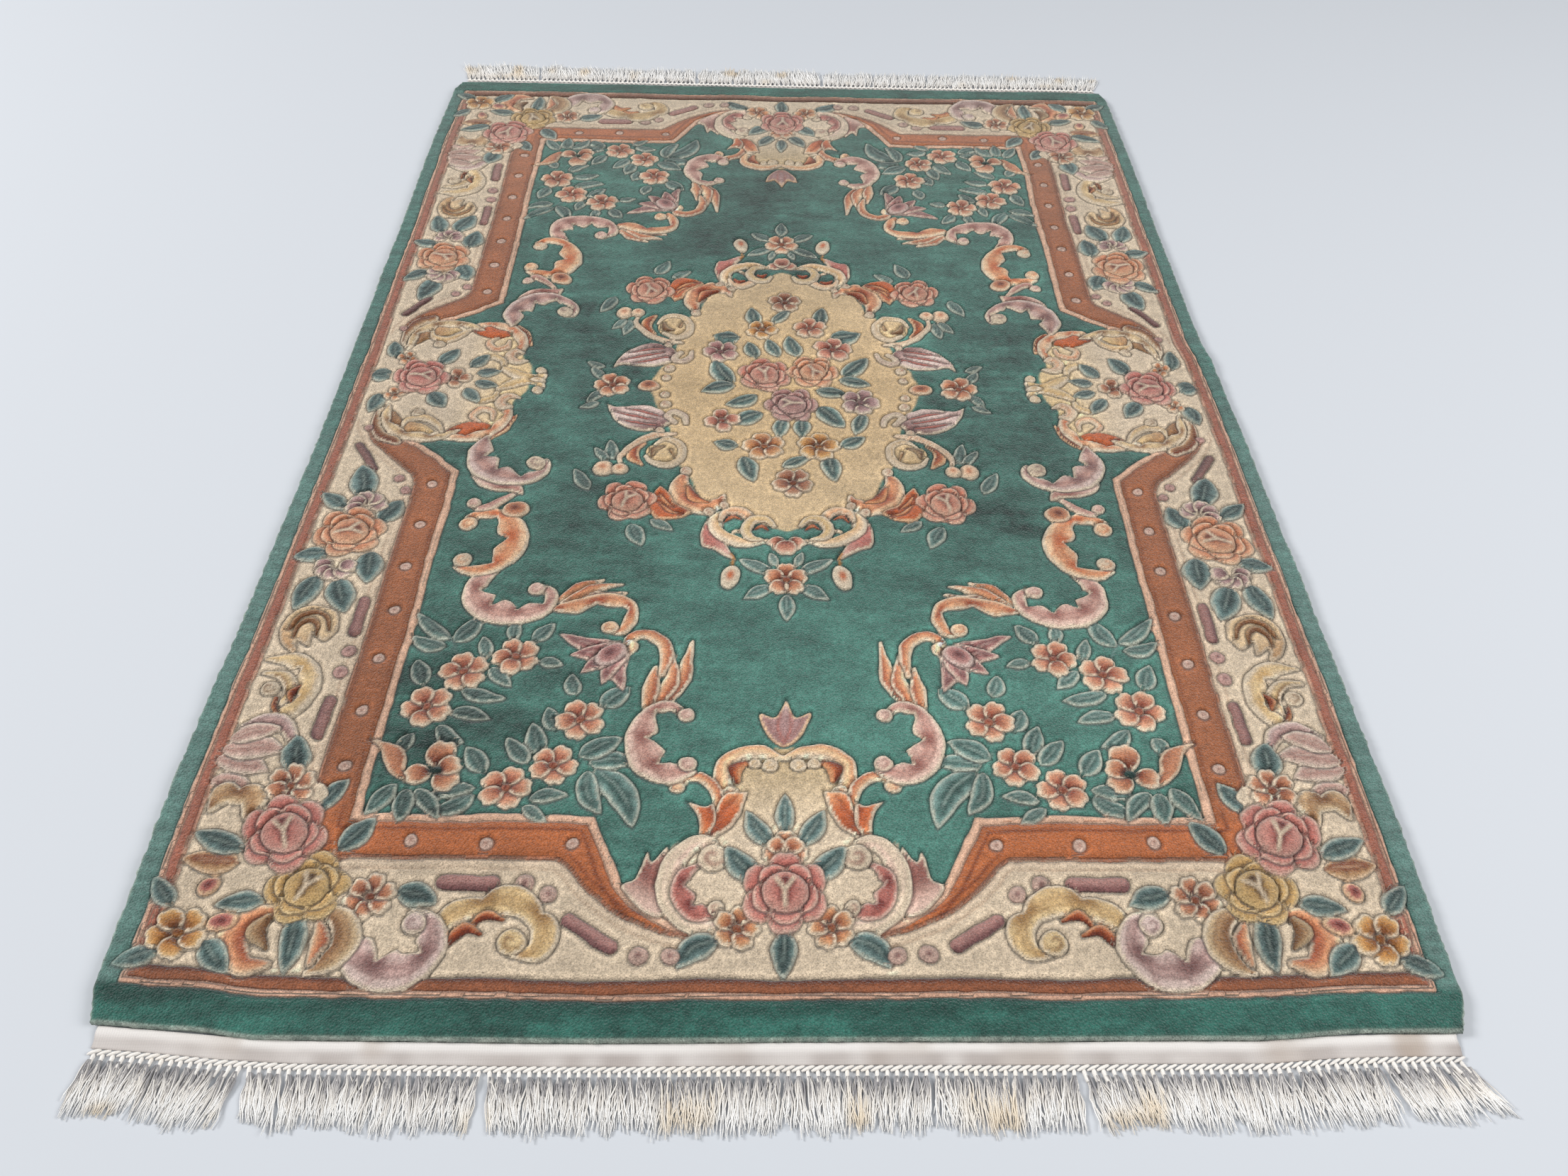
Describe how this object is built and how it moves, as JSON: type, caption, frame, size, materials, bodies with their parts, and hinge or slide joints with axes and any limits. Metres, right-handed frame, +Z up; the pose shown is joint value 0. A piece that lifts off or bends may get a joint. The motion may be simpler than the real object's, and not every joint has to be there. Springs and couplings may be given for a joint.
{
  "type": "carved wool aubusson rug",
  "caption": "Rectangular knotted wool rug with a carved floral pile, woven cotton web ends and knotted fringes, lying flat.",
  "frame": {"origin": "on the floor under the middle of the pile, which is the middle of the whole rug to within 5 mm", "axes": "+X across the rug to the right, +Y along the rug to the far end, +Z up; the pictured near end is at -Y"},
  "size_m": [1.872, 3.0172, 0.0215],
  "materials": {
    "wool_pile": "dense cut wool pile, matt with a soft nap, carved along the pattern",
    "cotton_web": "plain woven undyed cotton",
    "cotton_fringe": "undyed cotton strands, knotted and loose"
  },
  "bodies": {
    "root": {"pile_body": "wool_pile", "end_web_front": "cotton_web", "end_web_back": "cotton_web", "fringe_front": "cotton_fringe", "fringe_back": "cotton_fringe"}
  },
  "joints": []
}
